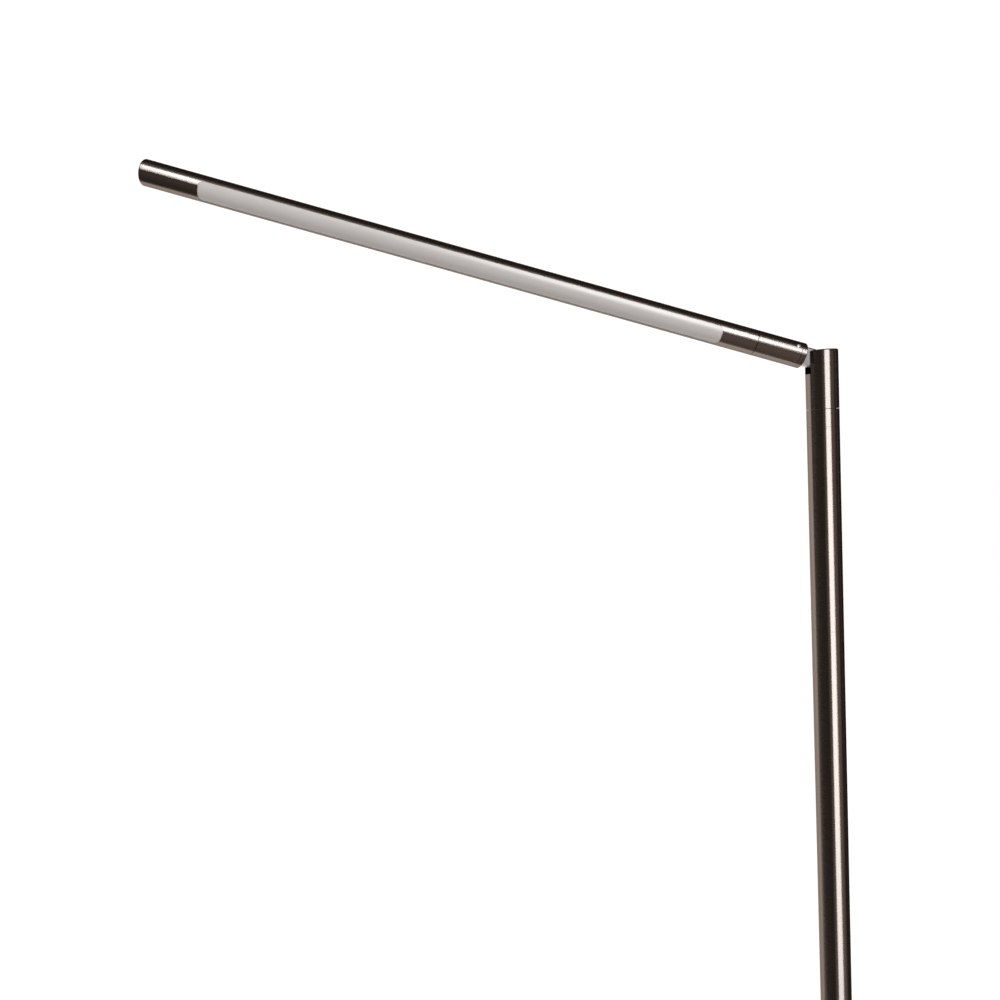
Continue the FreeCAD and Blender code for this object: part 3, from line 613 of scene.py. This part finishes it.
def makeHead(sizes, pinSizes, tongueWidth):
    low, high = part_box("head_housing")
    radius = high.x
    head = startBar(radius, low.z, high.z, sizes["sides"])
    recess(head, low.z, radius - sizes["flangeBore"], sizes["flangeRoof"])
    recess(head, low.z + sizes["flangeRoof"], sizes["flangeBore"] - sizes["bushBore"],
           sizes["chamberRoof"] - sizes["flangeRoof"])
    roundRing(head, radius, high.z, sizes["topRound"], 6)
    roundRing(head, radius, low.z, sizes["footRound"], 2)
    bpy.ops.object.mode_set(mode="OBJECT")
    floor = pin.z - sizes["slotDrop"]
    slot = boxCutter((-2 * radius, -sizes["slotWidth"] / 2, floor),
                     (sizes["slotBack"], sizes["slotWidth"] / 2, high.z + mm))
    cutAway(head, slot)
    drill(head, sizes["passage"], (-sizes["passageOffset"], 0, low.z + sizes["chamberRoof"] - mm), poleAxis,
          sizes["passageLength"])
    drill(head, sizes["pinBore"], (0, -sizes["pinFront"], pin.z), (0, 1, 0), sizes["pinLength"])
    drill(head, sizes["screwBore"], (sizes["bushBore"] - mm, 0, low.z + sizes["screwHeight"]), (1, 0, 0),
          sizes["screwLength"])
    softenEdges(head, sizes["slotEdge"])
    finishPiece(head, "slottedHead", "blackNickelPole", "head", ["head_housing"])

    low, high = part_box("tilt_pin")
    shaft = startBar(pinSizes["radius"], low.y, high.y, pinSizes["sides"])
    roundRing(shaft, pinSizes["radius"], low.y, pinSizes["edge"], 2)
    roundRing(shaft, pinSizes["radius"], high.y, pinSizes["edge"], 2)
    bpy.ops.object.mode_set(mode="OBJECT")
    half = pinSizes["slot"] / 2
    cutAway(shaft, boxCutter((-pinSizes["slotLength"], -half, high.y - pinSizes["slot"]),
                             (pinSizes["slotLength"], half, 2 * high.y)))
    lay = Matrix.Translation((0, 0, pin.z)) @ Matrix.Rotation(math.radians(-90), 4, "X")
    finishPiece(shaft, "tiltPin", "groundSteel", "head", ["tilt_pin"], lay)

    start = tongueWidth / 2 + pinSizes["washerGap"]
    end = sizes["slotWidth"] / 2 - pinSizes["washerGap"]
    washer = startBar(pinSizes["washerRadius"], start, end, pinSizes["washerSides"])
    boreThrough(washer, pinSizes["washerRadius"] - pinSizes["washerBore"])
    for height in (start, end):
        roundRing(washer, pinSizes["washerRadius"], height, pinSizes["washerEdge"], 2)
    bpy.ops.object.mode_set(mode="OBJECT")
    # The second washer is a copy, turned over to the other side of the tongue.
    twin = washer.copy()
    twin.data = washer.data.copy()
    bpy.context.collection.objects.link(twin)
    twin.matrix_world = Matrix.Rotation(math.radians(180), 4, "X")
    bpy.ops.object.select_all(action="DESELECT")
    twin.select_set(True)
    washer.select_set(True)
    bpy.context.view_layer.objects.active = washer
    bpy.ops.object.join()
    finishPiece(washer, "frictionWashers", "groundSteel", "head", ["friction_washers"], lay)
    print("head done")


# The arm and the light bar are one line of tube. Places along it are from the tilt pin,
# and the window is rolled from straight ahead by an angle in degrees.
armSettings = {
    "radius": 13.0 * mm,
    "wall": 1.3 * mm,
    "capStart": 21.0 * mm,
    "capEnd": 26.6 * mm,
    "windowRoll": 25.0,
}

# Its pieces are made along their own Z from the pin, X up, then laid over.
layArm = Matrix.Translation(pin) @ Matrix.Rotation(math.acos(armAxis.z), 4, Vector((0, -1, 0)))
layBar = layArm @ Matrix.Rotation(math.radians(-armSettings["windowRoll"]), 4, "Z")


# The tongue: a round-ended lug on the pin, with a stem that the arm's cap sits on.
tongueSettings = {
    "segments": 96,
    "rings": 48,
    "cut": 20.0 * mm,
    "radius": 10.0 * mm,
    "width": 12.0 * mm,
    "flatEnd": armSettings["capStart"],
    "end": armSettings["capEnd"],
    "pinBore": 3.05 * mm,
    "port": 3.0 * mm,
    "portPlace": 10.5 * mm,
    "edge": 0.25 * mm,
}


def makeTongue(sizes):
    # Half a ball round the pin, drawn out into a stem.
    tongue = lonePrimitive(bpy.ops.mesh.primitive_uv_sphere_add, segments=sizes["segments"],
                           ring_count=sizes["rings"], radius=sizes["radius"])
    bpy.ops.object.mode_set(mode="EDIT")
    bpy.ops.mesh.select_all(action="SELECT")
    bpy.ops.mesh.bisect(plane_co=(0, 0, 0), plane_no=(0, 0, 1), clear_outer=True, use_fill=True)
    choose(tongue, "FACE", lambda middle, normal: normal.z > 0.99)
    bpy.ops.mesh.extrude_region_move(TRANSFORM_OT_translate={"value": (0, 0, sizes["end"])})
    bpy.ops.object.mode_set(mode="OBJECT")
    # Both sides are milled flat to the width of the slot.
    half, cut = sizes["width"] / 2, sizes["cut"]
    cutAway(tongue, boxCutter((-cut, -cut, -cut), (cut, -half, sizes["flatEnd"])))
    cutAway(tongue, boxCutter((-cut, half, -cut), (cut, cut, sizes["flatEnd"])))
    drill(tongue, sizes["pinBore"], (0, -cut, 0), (0, 1, 0), 2 * cut)
    drill(tongue, sizes["port"], (0, 0, sizes["portPlace"]), (-1, 0, 0), cut)
    softenEdges(tongue, sizes["edge"])
    finishPiece(tongue, "tongueLug", "paleNickelTongue", "arm", ["hinge_tongue"], layArm)


# The arm's end cap: a short ring with a fine groove turned round it.
capSettings = {
    "radius": armSettings["radius"],
    "start": armSettings["capStart"],
    "end": armSettings["capEnd"],
    "bore": 10.05 * mm,
    "bevel": 0.8 * mm,
    "seam": 0.3 * mm,
    "groove": 23.6 * mm,
    "grooveDepth": 0.3 * mm,
    "sides": 256,
}


def makeCap(sizes):
    cap = startBar(sizes["radius"], sizes["start"], sizes["end"], sizes["sides"])
    boreThrough(cap, sizes["radius"] - sizes["bore"])
    # Three cuts round the outside, of which the middle one is drawn in as a groove.
    for step in (-1, 0, 1):
        bpy.ops.mesh.select_all(action="SELECT")
        bpy.ops.mesh.bisect(plane_co=(0, 0, sizes["groove"] + step * sizes["grooveDepth"]), plane_no=(0, 0, 1))
    choose(cap, "VERT", lambda p: near(p.z, sizes["groove"]) and fromAxis(p) > sizes["bore"] + mm)
    shrink = 1 - sizes["grooveDepth"] / sizes["radius"]
    bpy.ops.transform.resize(value=(shrink, shrink, 1), center_override=(0, 0, 0))
    roundRing(cap, sizes["radius"], sizes["start"], sizes["bevel"], 1)
    roundRing(cap, sizes["radius"], sizes["end"], sizes["seam"], 1)
    finishPiece(cap, "armEndCap", "blackNickelArm", "arm", ["arm_end_cap"], layArm)


# The sleeve between the cap and the light bar, with the grub screw's hole in its upper front.
sleeveSettings = {
    "sides": 256,
    "radius": armSettings["radius"],
    "wall": armSettings["wall"],
    "start": armSettings["capEnd"],
    "end": 72.5 * mm,
    "seam": 0.3 * mm,
    "bevel": 0.45 * mm,
    "grubPlace": 31.0 * mm,
    "grubAngle": 32.0,
    "grubBore": 1.78 * mm,
    "grubLength": 10.0 * mm,
}


def makeSleeve(sizes):
    sleeve = startBar(sizes["radius"], sizes["start"], sizes["end"], sizes["sides"])
    boreThrough(sleeve, sizes["wall"])
    roundRing(sleeve, sizes["radius"], sizes["start"], sizes["seam"], 1)
    roundRing(sleeve, sizes["radius"], sizes["end"], sizes["bevel"], 3)
    bpy.ops.object.mode_set(mode="OBJECT")
    lean = math.radians(sizes["grubAngle"])
    out = Vector((math.sin(lean), -math.cos(lean), 0))
    start = out * (sizes["radius"] - 2 * sizes["wall"]) + Vector((0, 0, sizes["grubPlace"]))
    drill(sleeve, sizes["grubBore"], start, out, sizes["grubLength"])
    finishPiece(sleeve, "armSleeve", "blackNickelArm", "arm", ["arm_sleeve"], layArm)
    return out


# Three headless screws: one holds the sleeve, and two guide the turning joints.
screwSettings = {
    "sides": 48,
    "key": 1.155 * mm,
    "socketDepth": 2.0 * mm,
    "socketLength": 10.0 * mm,
    "grubRadius": 1.75 * mm,
    "grubLength": 5.0 * mm,
    "guideRadius": 2.0 * mm,
    "tipRadius": 1.5 * mm,
    "tipLength": 1.6 * mm,
    "edge": 0.25 * mm,
    "sink": 0.15 * mm,
    "barTop": 12.6 * mm,
    "barLength": 5.2 * mm,
}


# A headless screw along its own Z, socket up. A guide screw has a thinner tip below.
def makeScrew(sizes, radius, length, tip):
    screw = startBar(radius, -length, 0, sizes["sides"])
    if tip:
        choose(screw, "FACE", lambda middle, normal: normal.z < -0.9)
        bpy.ops.mesh.inset(thickness=radius - sizes["tipRadius"])
        bpy.ops.mesh.extrude_region_move(TRANSFORM_OT_translate={"value": (0, 0, -sizes["tipLength"])})
    roundRing(screw, radius, 0, sizes["edge"], 2)
    roundRing(screw, radius, -length, sizes["edge"] / 2, 1)
    bpy.ops.object.mode_set(mode="OBJECT")
    drill(screw, sizes["key"], (0, 0, -sizes["socketDepth"]), poleAxis, sizes["socketLength"], sides=6)
    return screw


# Lays a piece with its Z along a direction and its origin at a point.
def alongDirection(point, direction):
    turn = Vector(direction).to_track_quat("Z", "Y").to_matrix().to_4x4()
    return Matrix.Translation(point) @ turn


def makeScrews(sizes, out):
    grub = makeScrew(sizes, sizes["grubRadius"], sizes["grubLength"], False)
    spot = out * (sleeveSettings["radius"] - sizes["sink"]) + Vector((0, 0, sleeveSettings["grubPlace"]))
    lay = layArm @ alongDirection(spot, out)
    finishPiece(grub, "armGrubScrew", "zincPlate", "arm", ["arm_grub_screw"], lay)

    low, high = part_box("head_guide_screw")
    length = high.x - low.x - sizes["tipLength"]
    guide = makeScrew(sizes, sizes["guideRadius"], length, True)
    lay = alongDirection((high.x, 0, (low.z + high.z) / 2), (1, 0, 0))
    finishPiece(guide, "headGuideScrew", "zincPlate", "head", ["head_guide_screw"], lay)


# The light bar's tube, with a long round-cornered window.
barSettings = {
    "radius": armSettings["radius"],
    "wall": armSettings["wall"],
    "start": 72.8 * mm,
    "end": 713.0 * mm,
    "bevel": 0.45 * mm,
    "sides": 252,
    "windowStart": 109.5 * mm,
    "windowEnd": 655.0 * mm,
    "windowWidth": 18.4 * mm,
    "windowCorner": 4.5 * mm,
    "windowDepth": 20.0 * mm,
    "cornerSteps": 8,
    "tipSeam": 0.1 * mm,
    "screwPlace": 88.2 * mm,
    "screwBore": 2.03 * mm,
    "screwStart": 10.0 * mm,
    "screwLength": 10.0 * mm,
}


def makeBar(sizes):
    bar = startBar(sizes["radius"], sizes["start"], sizes["end"], sizes["sides"])
    boreThrough(bar, sizes["wall"])
    roundRing(bar, sizes["radius"], sizes["start"], sizes["bevel"], 3)
    roundRing(bar, sizes["radius"], sizes["end"], sizes["tipSeam"], 1)
    bpy.ops.object.mode_set(mode="OBJECT")
    window = windowCutter(sizes["windowWidth"], sizes["windowStart"], sizes["windowEnd"], sizes["windowDepth"],
                          sizes["windowCorner"], sizes["cornerSteps"])
    cutAway(bar, window)
    drill(bar, sizes["screwBore"], (0, sizes["screwStart"], sizes["screwPlace"]), (0, 1, 0),
          sizes["screwLength"])
    finishPiece(bar, "lightBarTube", "blackNickelArm", "light_bar", ["bar_tube"], layBar)


# The opal lens.
lensSettings = {
    "outside": 12.85 * mm,
    "lip": 11.6 * mm,
    "inside": 10.4 * mm,
    "gap": 0.1 * mm,
    "lipReach": 1.2 * mm,
    "margin": 4.0 * mm,
    "sides": 160,
}


# A strip of tube that fills the window, or goes past its edge by a reach.
def lensPart(sizes, bar, outer, reach, corner):
    part = startBar(outer, bar["windowStart"] - sizes["margin"], bar["windowEnd"] + sizes["margin"],
                    sizes["sides"])
    boreThrough(part, outer - sizes["inside"])
    bpy.ops.object.mode_set(mode="OBJECT")
    cutter = windowCutter(bar["windowWidth"] + 2 * reach, bar["windowStart"] - reach,
                          bar["windowEnd"] + reach, bar["windowDepth"], corner, bar["cornerSteps"])
    cutAway(part, cutter, "INTERSECT")
    return part


# The lens shows in the window and has a wider, deeper lip that holds it from inside.
def makeLens(sizes, bar):
    face = lensPart(sizes, bar, sizes["outside"], -sizes["gap"], bar["windowCorner"] - sizes["gap"])
    lip = lensPart(sizes, bar, sizes["lip"], sizes["lipReach"], bar["windowCorner"] + sizes["lipReach"])
    cutAway(face, lip, "UNION")
    finishPiece(face, "opalDiffuser", "opalAcrylic", "light_bar", ["diffuser"], layBar)


# The end cap of the bar: a rounded end on a plug.
tipSettings = {
    "sides": 256,
    "end": 716.0 * mm,
    "round": 2.0 * mm,
    "plugRadius": 11.65 * mm,
    "plugLength": 13.0 * mm,
}


def makeTip(sizes, bar):
    tip = startBar(bar["radius"], bar["end"], sizes["end"], sizes["sides"])
    choose(tip, "FACE", lambda middle, normal: normal.z < -0.9)
    bpy.ops.mesh.inset(thickness=bar["radius"] - sizes["plugRadius"])
    bpy.ops.mesh.extrude_region_move(TRANSFORM_OT_translate={"value": (0, 0, -sizes["plugLength"])})
    roundRing(tip, bar["radius"], sizes["end"], sizes["round"], 8)
    roundRing(tip, bar["radius"], bar["end"], bar["tipSeam"], 1)
    finishPiece(tip, "lightBarTip", "blackNickelArm", "light_bar", ["tip_cap"], layBar)


def makeBarScrew(sizes, bar):
    screw = makeScrew(sizes, sizes["guideRadius"], sizes["barLength"], True)
    lay = layBar @ alongDirection((0, sizes["barTop"], bar["screwPlace"]), (0, 1, 0))
    finishPiece(screw, "barGuideScrew", "zincPlate", "light_bar", ["bar_guide_screw"], lay)


# What the CAD parts that are kept as they are, nearly all hidden, are made of.
keptMaterials = {
    "castIron": ["base_weight"],
    "zincPlate": ["base_stud", "base_washer", "base_nut"],
    "groundSteel": ["foot_plug", "lower_coupler", "upper_coupler", "swivel_post", "roll_post"],
    "turnedAcetal": ["swivel_bush", "bar_hub"],
    "extrudedPvc": ["supply_lead", "head_lead", "arm_lead", "bar_lead"],
    "extrudedAluminium": ["led_carrier"],
    "solderMask": ["led_board"],
    "phosphorResin": ["led_chips"],
}


def dressNodes():
    for material, names in keptMaterials.items():
        for name in names:
            node = frame["nodes"][name]
            for slot in node.material_slots:
                slot.material = bpy.data.materials[material]


# The studio's floor: a wide sheet of pale paper.
studioSettings = {
    "paper": "#E3E3E3",
    "paperFibre": "#E0E0E0",
    "fibresPerMetre": 40.0,
    "roughness": 0.9,
    "floorSize": 24.0,
}


def makeStudio(studio):
    bpy.ops.object.select_all(action="DESELECT")
    bpy.ops.mesh.primitive_plane_add(size=studio["floorSize"], location=(0, 0, 0))
    floor = bpy.context.object
    floor.name = "paperFloor"
    floor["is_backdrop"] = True
    tree, surface = newMaterial("seamlessPaper", {"Roughness": studio["roughness"]})
    place = addNode(tree, "ShaderNodeTexCoord").outputs["Object"]
    fibre = addNode(tree, "ShaderNodeTexNoise", None, {
        "Vector": place, "Scale": studio["fibresPerMetre"], "Detail": 3.0})
    blendInto(tree, surface, fibre.outputs["Fac"], studio["paperFibre"], studio["paper"])
    floor.data.materials.append(bpy.data.materials["seamlessPaper"])
    # The paper takes the shadow, but does not show in the metal or bounce light up.
    floor.visible_glossy = False
    floor.visible_diffuse = False
    print("studio done")


# A softbox for the arm and base, a smaller one for the lens, and a tall strip light for
# the pole. Places and sizes are in metres, and the roll is in degrees.
lampSettings = {
    "softbox": {"place": (-0.08, -1.58, 2.48), "size": (1.86, 1.30), "aim": (0, 0, 1.4), "roll": 8.0,
                "power": 150.0, "colour": (0.86, 0.94, 1.0)},
    "lensLight": {"place": (0.42, -1.58, 2.36), "size": (1.0, 1.20), "aim": (0, 0, 1.4), "roll": 8.0,
                  "power": 105.0, "colour": (1.0, 1.0, 1.0)},
    "stripLight": {"place": (0.44, -1.55, 0.70), "size": (1.02, 3.00), "aim": (0, 0, 0.7), "roll": 0.0,
                   "power": 84.0, "colour": (0.86, 0.94, 1.0)},
}


# One lamp. It draws the shine of the listed things and no more: the soft light of the
# room gives all the rest.
def addLamp(name, lamp, lit):
    bpy.ops.object.light_add(type="AREA", location=lamp["place"])
    light = bpy.context.object
    light.name = name
    light.data.shape = "RECTANGLE"
    light.data.size, light.data.size_y = lamp["size"]
    light.data.energy = lamp["power"]
    light.data.color = lamp["colour"]
    light.visible_camera = False
    light.visible_diffuse = False
    aim = (Vector(lamp["aim"]) - light.location).to_track_quat("-Z", "Y").to_matrix()
    light.rotation_euler = (aim @ Matrix.Rotation(math.radians(lamp["roll"]), 3, "Z")).to_euler()
    group = bpy.data.collections.new(name + "Lights")
    for thing in lit:
        group.objects.link(thing)
    light.light_linking.receiver_collection = group


def addLamps(lamps):
    upright = [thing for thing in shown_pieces() if body_of(thing)[0] in ("stand", "head")
               and "base" not in thing.name]
    lens = [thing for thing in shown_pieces() if thing.name == "opalDiffuser"]
    others = [thing for thing in bpy.data.objects
              if thing.type == "MESH" and thing not in upright and thing not in lens]
    addLamp("softbox", lamps["softbox"], others)
    addLamp("lensLight", lamps["lensLight"], lens)
    addLamp("stripLight", lamps["stripLight"], upright)
    print("lamps done")


# The world: white paper to the eye, and for reflections a dark room with the white
# sweep behind and under the lamp and a grey card on the right. From and To are azimuths
# in degrees, the sides are directions that face the bright part, and the edges are how
# softly each part fades out.
roomSettings = {
    "paper": (1.0, 1.0, 1.0, 1.0),
    "paperStrength": 1.06,
    "skyAbove": (1.43, 1.41, 1.41, 1.0),
    "skyBelow": (0.58, 0.57, 0.565, 1.0),
    "room": (0.095, 0.075, 0.062, 1.0),
    "sweep": (1.95, 1.88, 1.80, 1.0),
    "card": (0.85, 0.66, 0.60, 1.0),
    "floor": (0.10, 0.085, 0.072, 1.0),
    "patch": (0.50, 0.43, 0.38, 1.0),
    "rail": (0.85, 0.78, 0.72, 1.0),
    "edge": 0.03,
    "belowEdge": 0.3,
    "aboveEdge": 0.6,
    "sweepEdge": 0.1,
    "cardEdge": 0.7,
    "skyEdge": 0.5,
    "sweepSides": ((0.42, 1, -0.1), (-0.866, 0.5, -0.3)),
    "sweepUnder": (0, 0.5, -0.866),
    "cardFrom": 33.0,
    "cardTo": 66.0,
    "patchFrom": -20.0,
    "patchTo": 34.0,
    "railAcross": (0, 0.927, 0.375),
    "railHalf": 0.05,
}


def makeWorld(tones):
    world = bpy.data.worlds.new("studioRoom")
    bpy.context.scene.world = world
    world.use_nodes = True
    tree = world.node_tree
    tree.nodes.clear()
    look = addNode(tree, "ShaderNodeTexCoord").outputs["Generated"]

    # One half of the sky, bright on the side that the normal points to.
    def side(normal, edge=tones["edge"]):
        dot = addNode(tree, "ShaderNodeVectorMath", {"operation": "DOT_PRODUCT"}, {
            0: look, 1: Vector(normal).normalized()})
        return addNode(tree, "ShaderNodeMapRange", {"interpolation_type": "SMOOTHSTEP"}, {
            "Value": dot.outputs["Value"], "From Min": -edge, "From Max": edge}).outputs[0]

    def maths(operation, a, b):
        return addNode(tree, "ShaderNodeMath", {"operation": operation}, {0: a, 1: b}).outputs[0]

    def mix(factor, a, b):
        return addNode(tree, "ShaderNodeMix", {"data_type": "RGBA"}, {0: factor, 6: a, 7: b}).outputs[2]

    # A wedge of the room between two azimuths, in degrees from -Y towards +X.
    def wedge(start, end):
        left, right = math.radians(start + 90), math.radians(end - 90)
        return maths("MULTIPLY", side((math.sin(left), -math.cos(left), 0)),
                     side((math.sin(right), -math.cos(right), 0)))

    below, above = side((0, 0, -1), tones["belowEdge"]), side((0, 0, 1), tones["aboveEdge"])
    behind = maths("MULTIPLY", side(tones["sweepSides"][0]), side(tones["sweepSides"][1]))
    sweep = maths("MULTIPLY", behind, side(tones["sweepUnder"], tones["sweepEdge"]))
    cardFade = side((0, 0, -1), tones["cardEdge"])
    card = maths("MULTIPLY", wedge(tones["cardFrom"], tones["cardTo"]), cardFade)

    # A dim floor with a lighter patch in front, and one pale rail overhead that draws a
    # thin line.
    across = addNode(tree, "ShaderNodeVectorMath", {"operation": "DOT_PRODUCT"}, {
        0: look, 1: tones["railAcross"]})
    offRail = maths("ABSOLUTE", across.outputs["Value"], 0)
    rail = maths("MULTIPLY", maths("LESS_THAN", offRail, tones["railHalf"]), above)
    room = mix(below, tones["room"], tones["floor"])
    room = mix(maths("MULTIPLY", wedge(tones["patchFrom"], tones["patchTo"]), below), room, tones["patch"])
    room = mix(rail, mix(card, room, tones["card"]), tones["rail"])
    reflected = mix(sweep, room, tones["sweep"])
    mirror = addNode(tree, "ShaderNodeBackground", None, {"Color": reflected, "Strength": 1.0})
    soft = addNode(tree, "ShaderNodeBackground", None, {
        "Color": mix(side((0, 0, 1), tones["skyEdge"]), tones["skyBelow"], tones["skyAbove"]),
        "Strength": 1.0})
    paper = addNode(tree, "ShaderNodeBackground", None, {
        "Color": tones["paper"], "Strength": tones["paperStrength"]})
    rays = addNode(tree, "ShaderNodeLightPath")
    first = addNode(tree, "ShaderNodeMixShader", None, {
        0: rays.outputs["Is Glossy Ray"], 1: soft.outputs[0], 2: mirror.outputs[0]})
    second = addNode(tree, "ShaderNodeMixShader", None, {
        0: rays.outputs["Is Camera Ray"], 1: first.outputs[0], 2: paper.outputs[0]})
    addNode(tree, "ShaderNodeOutputWorld", None, {"Surface": second.outputs[0]})
    bpy.context.scene.view_settings.view_transform = "Standard"
    print("world done")


addCamera(cameraSettings)
makeStudio(studioSettings)
makeWorld(roomSettings)
makeMaterials()
makePole(poleSettings)
makeBase(baseSettings, bushSettings)
makeHead(headSettings, pinSettings, tongueSettings["width"])
makeTongue(tongueSettings)
makeCap(capSettings)
outward = makeSleeve(sleeveSettings)
makeScrews(screwSettings, outward)
print("arm done")
makeBar(barSettings)
makeLens(lensSettings, barSettings)
makeTip(tipSettings, barSettings)
makeBarScrew(screwSettings, barSettings)
print("light bar done")
dressNodes()
addLamps(lampSettings)
